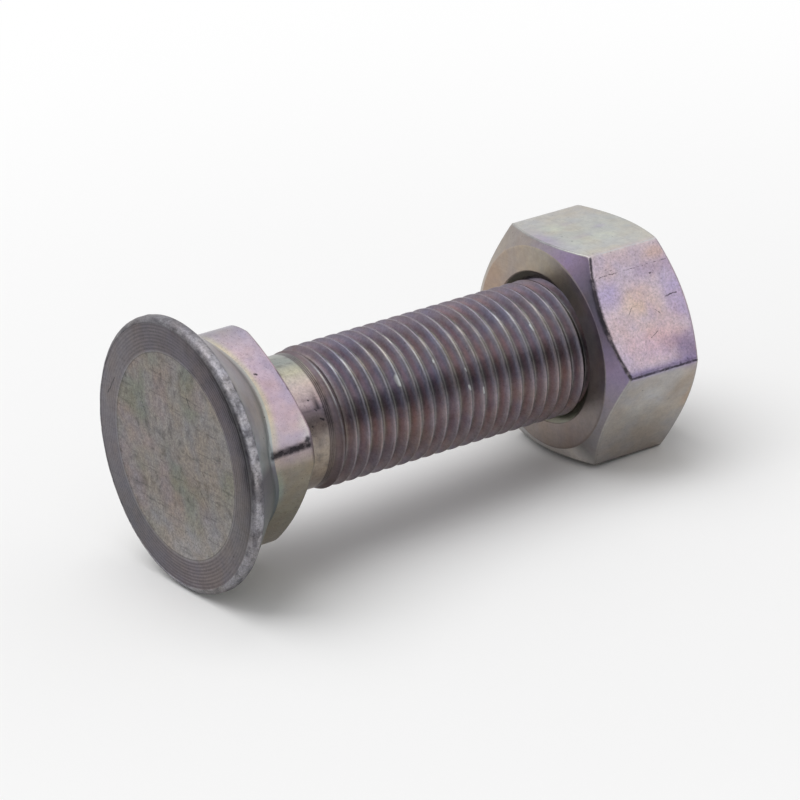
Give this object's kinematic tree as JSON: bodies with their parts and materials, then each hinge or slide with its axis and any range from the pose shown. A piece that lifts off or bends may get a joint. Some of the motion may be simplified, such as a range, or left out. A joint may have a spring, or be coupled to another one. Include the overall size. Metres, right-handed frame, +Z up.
{
  "type": "plough bolt with hexagon nut",
  "caption": "Flat countersunk bolt with a rounded square neck and a fine thread, with its hexagon nut run on near the free end.",
  "frame": {"origin": "on the ground, under the middle of the bounding box of the pair as it lies", "axes": "+X along the bolt from its head to its free end, which points 2.88 degrees below level because the head is wider than the nut; +Z up; +Y across"},
  "size_m": [0.0578, 0.0272, 0.0273],
  "materials": {
    "bolt_steel": "forged, turned and thread-rolled steel with thin yellowish passivated zinc",
    "nut_steel": "pressed steel with pale iridescent passivated zinc"
  },
  "bodies": {
    "bolt": {"bolt": "bolt_steel"},
    "nut": {"nut": "nut_steel"}
  },
  "joints": [
    {"name": "nut_travel", "type": "slide", "parent": "bolt", "child": "nut", "axis": [0.9987, 0, -0.0502], "range_m": [-0.027, 0.012]}
  ]
}
